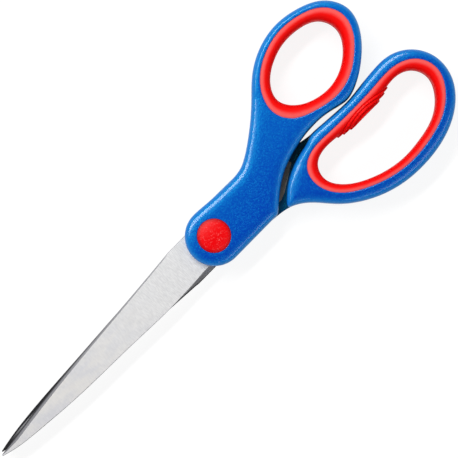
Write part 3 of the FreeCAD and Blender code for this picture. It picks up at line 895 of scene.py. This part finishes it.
class Finish:
    """One procedural material on a Principled shader."""

    def __init__(self, name, **constants):
        self.material = bpy.data.materials.new(name)
        self.material.use_nodes = True
        self.tree = self.material.node_tree
        self.shader = next(n for n in self.tree.nodes if n.type == "BSDF_PRINCIPLED")
        self.output = next(n for n in self.tree.nodes if n.type == "OUTPUT_MATERIAL")
        for socket, value in constants.items():
            self.shader.inputs[socket.replace("_", " ")].default_value = value
        self.place = self.node("ShaderNodeTexCoord").outputs["Object"]
        across = self.node("ShaderNodeAttribute", attribute_name="across")
        self.across = Number(across.outputs["Fac"])

    def node(self, kind, sockets=(), **settings):
        """A node of that type; settings are set first, and sockets go by name or number."""
        node = self.tree.nodes.new(kind)
        for setting, value in settings.items():
            setattr(node, setting, value)
        for socket, value in dict(sockets).items():
            feed(self.tree, node.inputs[socket], value)
        return node

    def noise(self, size, detail, rough, place=None):
        """Noise from 0 to 1 whose features are about size millimetres wide."""
        sockets = {"Scale": 1 / (size * MM), "Detail": detail, "Roughness": rough}
        node = self.node("ShaderNodeTexNoise", {"Vector": place or self.place, **sockets})
        return Number(node.outputs["Fac"])

    def coordinate(self, axis, vector=None):
        """One coordinate of a vector, which is the place on the object if none is given."""
        node = self.node("ShaderNodeSeparateXYZ", {0: vector or self.place})
        return Number(node.outputs[axis])

    def normal_z(self):
        """Upright part of the surface's normal."""
        geometry = self.node("ShaderNodeNewGeometry")
        return self.coordinate("Z", geometry.outputs["Normal"])

    def stretched(self, x, y, z):
        """Object coordinates scaled by x, y and z: a pattern is drawn out along the small ones."""
        return self.node("ShaderNodeMapping", {"Vector": self.place, "Scale": (x, y, z)}).outputs[0]

    def ramp(self, value, low, high):
        """value brought from low..high to 0..1."""
        node = self.node("ShaderNodeMapRange", {"Value": value, "From Min": low, "From Max": high},
                         interpolation_type="SMOOTHSTEP")
        return Number(node.outputs["Result"])

    def mix(self, share, first, second):
        """Colour between two colours."""
        return self.node("ShaderNodeMix", {0: share, 6: first, 7: second}, data_type="RGBA").outputs[2]

    def bump(self, height, depth):
        """Normal of a relief whose height 0..1 is depth millimetres deep."""
        sockets = {"Height": height, "Distance": depth * MM, "Strength": 1.0}
        return self.node("ShaderNodeBump", sockets).outputs[0]

    def put_on(self, *pieces, **sockets):
        """Feeds the shader's sockets, and gives the material to the pieces."""
        for socket, value in sockets.items():
            feed(self.tree, self.shader.inputs[socket.replace("_", " ")], value)
        for piece in pieces:
            piece.data.materials.clear()
            piece.data.materials.append(self.material)
        print(f"{self.material.name}: {len(self.tree.nodes)} nodes")


# %% [markdown]
# ## Blue handle plastic
#
# The mould is spark-eroded, which leaves a fine pebble grain, so the broad sheen breaks up
# into specks. Over it the pressed skin of the plastic is glossier and gives the crisp line in
# a highlight, which is the shader's coat. The base colour carries painted light: the thumb
# half, towards the brighter left box, is lighter and the finger half darker, and the rounded
# rims get a paler painted sheen. The level faces at the parting, which only show in the slot,
# and the edges beside the slot get painted shade, nearly black.

# %% Handle plastic
# Blues: painted shade and painted light for the two halves, painted sheen for the rims, painted shade
# for the slot.
SHADED_SIDE_BLUE = (0.0003, 0.034, 0.45, 1)
LIT_SIDE_BLUE = (0.0006, 0.086, 0.53, 1)
SHEEN_BLUE = (0.004, 0.21, 0.64, 1)
SLOT_SHADE_BLUE = (0.0003, 0.003, 0.015, 1)
LEFT_LIGHT_RANGE = (0.016, -0.012)  # x over which the painted left light fades in, from the finger side to the thumb side, in metres
RIM_SHEEN_RANGE = (0.4, 2.2)  # across, from the full painted rim sheen to none
PARTING_HEIGHT = (0.0058, 0.0051)  # metres
LEVEL_FACING = (0.3, 0.7)

plastic = Finish("grained_blue_plastic", IOR=1.5, Specular_IOR_Level=1.0,
                 Specular_Tint=(0.02, 0.80, 0.90, 1), Coat_Weight=0.34, Coat_Roughness=0.13,
                 Coat_IOR=1.5)
pebble = plastic.noise(0.46, 2.0, 0.7)
cloud = plastic.noise(14.0, 2.0, 0.5)
speck = plastic.ramp(pebble, 0.46, 0.72)
# Painted light: lighter on the thumb half, towards the brighter left box, darker on the finger half.
painted_left_light = plastic.ramp(plastic.coordinate("X") + 0.012 * cloud, *LEFT_LIGHT_RANGE)
# Painted sheen: a paler blue over the rims' shoulders, where the boxes shine.
painted_rim_sheen = (1 - plastic.ramp(plastic.across, *RIM_SHEEN_RANGE)) * 0.55
side_lit_blue = plastic.mix((painted_left_light * 0.8 + speck * 0.2).clamped(), SHADED_SIDE_BLUE, LIT_SIDE_BLUE)
grain_and_sheen_blue = plastic.mix((painted_rim_sheen + speck * 0.36).clamped(), side_lit_blue, SHEEN_BLUE)
# Painted shade: the level faces low down at the parting, and the edges beside the other half, turn
# nearly black.
low = plastic.ramp(plastic.coordinate("Z"), *PARTING_HEIGHT)
parting = low * plastic.ramp(plastic.normal_z(), *LEVEL_FACING)
painted_gap_shade = plastic.ramp(plastic.across, 0.0, -0.7)
painted_slot_shade = (parting * 0.8).or_more(painted_gap_shade * 0.95)
plastic.put_on(thumb_handle, finger_handle, Base_Color=plastic.mix(painted_slot_shade, grain_and_sheen_blue, SLOT_SHADE_BLUE),
               Roughness=0.36 + 0.16 * speck, Normal=plastic.bump(pebble, 0.12))

# %% [markdown]
# ## Red rubber and the red cap
#
# The soft grips are satin, with a finer grain than the plastic. The outer part of each ring
# gets a paler painted sheen, and the part that rolls into the hole painted shade in deep red.
# The cap is a hard button with coarser sparks in its grain, and painted shade darkens its edge.

# %% Grip rubber and cap plastic
# Reds: painted shade and painted sheen for the rings, and painted shade for the cap's edge.
SHADED_RED = (0.84, 0.0004, 0.0004, 1)
FULL_RED = (0.93, 0.004, 0.003, 1)
SHEEN_RED = (0.97, 0.115, 0.108, 1)
CAP_RED = (0.88, 0.0005, 0.003, 1)
SPARK_RED = (0.98, 0.15, 0.15, 1)
CAP_SHADE_RED = (0.45, 0.0005, 0.004, 1)
CAP_SHADE_RANGE = (3.7, 4.9)  # radius over which painted shade darkens the edge

rubber = Finish("satin_red_rubber", IOR=1.15, Specular_IOR_Level=0.5)
skin_grain = rubber.noise(0.32, 2.0, 0.6)
drift = rubber.noise(3.0, 2.0, 0.5)
# Painted light: pale sheen on the outer part of each ring, deep shade where it rolls into the hole;
# drift and grain vary it at random.
painted_light_across = rubber.across + 0.10 * drift - 0.05 + 0.10 * skin_grain
shaded_inner_red = rubber.mix(rubber.ramp(painted_light_across, 0.10, 0.50), SHADED_RED, FULL_RED)
sheen_and_shade_red = rubber.mix(rubber.ramp(painted_light_across, 0.50, 0.90), shaded_inner_red, SHEEN_RED)
rubber.put_on(thumb_grip, finger_grip, Base_Color=sheen_and_shade_red,
              Roughness=0.42 + 0.14 * skin_grain, Normal=rubber.bump(skin_grain, 0.03))

button = Finish("speckled_red_plastic", IOR=1.5, Specular_IOR_Level=0.15)
sparks = button.noise(0.42, 3.0, 0.65)
flake = button.ramp(sparks, 0.54, 0.74)
button_red = button.mix(flake * 0.8, CAP_RED, SPARK_RED)
# Painted shade: the dome darkens towards its edge.
painted_cap_shade = button.ramp(button.across, *CAP_SHADE_RANGE) * 0.85
button.put_on(front_cap, back_cap, Base_Color=button.mix(painted_cap_shade, button_red, CAP_SHADE_RED),
              Roughness=0.34 + 0.16 * flake, Normal=button.bump(sparks, 0.06))

# %% [markdown]
# ## Brushed steel
#
# The blades are brushed straight across, so their scratches are short lines along X. Noise
# drawn out along X gives them, as a bump and as a light and dark streak in the colour. The
# colour is brightest at the heel and darker towards the tip, with faint warm clouds. The ground
# bevel and the eased edges get painted shade for the dark surroundings they reflect, nearly
# black at the outer border near the tip. The border of the inner face is smoother, with painted
# shade at its edge and over the point, and the tang gets painted shade where it lies deep in
# the slot.

# %% Blade steel
STREAK = (0.84, 0.84, 0.85, 1)
POLISH = (1.0, 1.0, 1.0, 1)
COOL_CLOUD = (0.80, 0.80, 0.84, 1)
WARM_CLOUD = (0.93, 0.905, 0.875, 1)
# Painted shade: the tang's faces, deep in the slot, are darker.
OUTER_TANG_SHADE = (0.30, 0.27, 0.25, 1)
INNER_TANG_SHADE = (0.50, 0.45, 0.40, 1)
# Painted shade: darker steels for the bevels and eased edges.
HEEL_BEVEL_SHADE = (0.36, 0.36, 0.38, 1)
TIP_BEVEL_SHADE = (0.26, 0.26, 0.28, 1)
TIP_EDGE_SHADE = (0.03, 0.03, 0.035, 1)
# Painted shade: the inner face's border is greyer, and nearly black at its edge.
BORDER = (0.75, 0.75, 0.78, 1)
BORDER_EDGE_SHADE = (0.05, 0.05, 0.055, 1)
TIP_RANGE = (-0.012, -0.070)  # y in metres, from heel to tip
TANG_RANGE = (0.009, 0.012)
POINT_RANGE = (-0.076, -0.084)
BLADES_MEET = 0.005  # height of the inner faces, in metres
INNER_RANGE = (0.00007, 0.00012)

steel = Finish("brushed_steel", Metallic=0.62)
streaks = steel.noise(0.20, 3.0, 0.7, steel.stretched(0.14, 1.0, 1.0))
scratches = steel.noise(0.5, 2.0, 0.5, steel.stretched(0.12, 1.0, 1.0))
along_y = steel.coordinate("Y")
to_tip = steel.ramp(along_y, *TIP_RANGE)
# Painted shade over the tang, which lies deep in the slot.
tang_shade_mask = steel.ramp(along_y, *TANG_RANGE)
warmth = steel.noise(3.6, 5.0, 0.65, steel.stretched(1.0, 0.35, 1.0))
fine = steel.mix(steel.ramp(streaks, 0.32, 0.70), STREAK, POLISH)
dull = steel.mix(steel.ramp(warmth + 0.25 * (streaks - 0.5), 0.34, 0.66), COOL_CLOUD, WARM_CLOUD)
face_steel = steel.mix(to_tip * 0.8, fine, dull)
shaded_tang_steel = steel.mix(tang_shade_mask, face_steel, OUTER_TANG_SHADE)
# Painted shade: slanted bevels and eased edges are darker, for the dark surroundings they reflect,
# nearly black at the outer border near the tip.
shaded_bevel_steel = steel.mix(steel.ramp(steel.across, 0.40, 0.90), TIP_BEVEL_SHADE, TIP_EDGE_SHADE)
any_shaded_bevel = steel.mix(to_tip, HEEL_BEVEL_SHADE, shaded_bevel_steel)
slanted = 1 - steel.ramp(steel.normal_z().absolute(), 0.90, 0.98)
from_middle = (steel.coordinate("Z") - BLADES_MEET).absolute()
inner_face = 1 - steel.ramp(from_middle, *INNER_RANGE)
# Painted shade: dark at the edge of the inner face's border and over the point.
painted_border_shade = steel.ramp(steel.across, 0.1, 0.45)
painted_point_shade = steel.ramp(along_y, *POINT_RANGE)
shaded_border_steel = steel.mix(painted_border_shade.or_more(painted_point_shade), BORDER, BORDER_EDGE_SHADE)
inner_steel = steel.mix(inner_face, shaded_tang_steel, steel.mix(tang_shade_mask, shaded_border_steel, INNER_TANG_SHADE))
steel.put_on(front_blade, back_blade, Base_Color=steel.mix(slanted, inner_steel, any_shaded_bevel),
             Roughness=0.40 + 0.14 * streaks - 0.18 * inner_face,
             Normal=steel.bump(streaks * 0.7 + scratches * 0.3, 0.012))

# %% [markdown]
# ## Turned steel inside the pivot
#
# The rivet, its collar and the spring washer are turned parts, so fine rings run round their
# axis: a wave over the distance from it.

# %% Pivot steel
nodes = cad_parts
turned_steel = Finish("turned_steel", Metallic=1.0)
wave = {"Vector": turned_steel.place, "Scale": 2600.0, "Distortion": 1.5, "Detail": 2.0}
rings = turned_steel.node("ShaderNodeTexWave", wave, wave_type="RINGS", rings_direction="Z")
groove = Number(rings.outputs["Fac"])
ring_colour = turned_steel.mix(groove, (0.56, 0.56, 0.57, 1), (0.68, 0.68, 0.69, 1))
turned_steel.put_on(nodes["pivot_rivet"], nodes["rivet_collar"], nodes["spring_washer"],
                    Base_Color=ring_colour, Roughness=0.28 + 0.12 * groove,
                    Normal=turned_steel.bump(groove, 0.004))

# %% [markdown]
# ## Table and light
#
# The table keeps a faint shadow, and looks white to the camera and in reflections. Two long
# soft boxes stand at the sides of the blades, the left one brighter. The sky is white low down,
# like the walls of a room, and dim overhead, so that level faces keep their colour and rims
# shine.

# %% Table
TABLE_HALF = 1.5
TABLE_TOP = -2e-5  # a hair under the handles
TABLE_GREY = (0.17, 0.17, 0.17, 1)
WHITE = (1, 1, 1, 1)

table_mesh = bpy.data.meshes.new("table")
signs = ((-1, -1), (1, -1), (1, 1), (-1, 1))
table_corners = [(x * TABLE_HALF, y * TABLE_HALF, TABLE_TOP) for x, y in signs]
table_mesh.from_pydata(table_corners, [], [(0, 1, 2, 3)])
table = new_object("table", table_mesh)
matt = Finish("pale_table", Roughness=0.9, Specular_IOR_Level=0.1, Base_Color=TABLE_GREY,
              Emission_Color=WHITE)
path = matt.node("ShaderNodeLightPath")
seen = Number(path.outputs["Is Camera Ray"]).or_more(path.outputs["Is Glossy Ray"])
matt.put_on(table, Emission_Strength=seen * 0.88)


# %% Soft boxes and sky
BOX_DISTANCE = 0.7
BOX_SIZE = (0.08, 0.75)
BOX_SHIFT = 0.04  # towards the handles


def soft_box(name, side_degrees, watts):
    """Area light over the scissors, leaning to one side, turned to face the pivot's line."""
    light = bpy.data.lights.new(name, "AREA")
    light.shape = "RECTANGLE"
    light.size, light.size_y = BOX_SIZE
    light.energy = watts
    box = new_object(name, light)
    lean_angle = math.radians(side_degrees)
    box.location = (BOX_DISTANCE * math.sin(lean_angle), BOX_SHIFT,
                    BOX_DISTANCE * math.cos(lean_angle))
    box.rotation_euler = (0, lean_angle, 0)
    print(f"{name}: radiance {watts / (math.pi * BOX_SIZE[0] * BOX_SIZE[1]):.1f}")


soft_box("left_soft_box", -34, 4.4)
soft_box("right_soft_box", 38, 0.9)

world = bpy.data.worlds.new("sky")
world.use_nodes = True
bpy.context.scene.world = world
tree = world.node_tree
sky = tree.nodes["Background"]
sky.inputs["Color"].default_value = WHITE
direction = tree.nodes.new("ShaderNodeTexCoord")
height_of = tree.nodes.new("ShaderNodeSeparateXYZ")
tree.links.new(direction.outputs["Generated"], height_of.inputs[0])
fade = tree.nodes.new("ShaderNodeMapRange")
fade.interpolation_type = "SMOOTHSTEP"
for socket, value in (("From Min", 0.25), ("From Max", 0.70), ("To Min", 0.90), ("To Max", 0.06)):
    fade.inputs[socket].default_value = value
tree.links.new(height_of.outputs["Z"], fade.inputs["Value"])
tree.links.new(fade.outputs["Result"], sky.inputs["Strength"])
print("lights and sky ready")

# %% Finish
bpy.context.scene.view_settings.view_transform = "Standard"
bpy.context.view_layer.update()
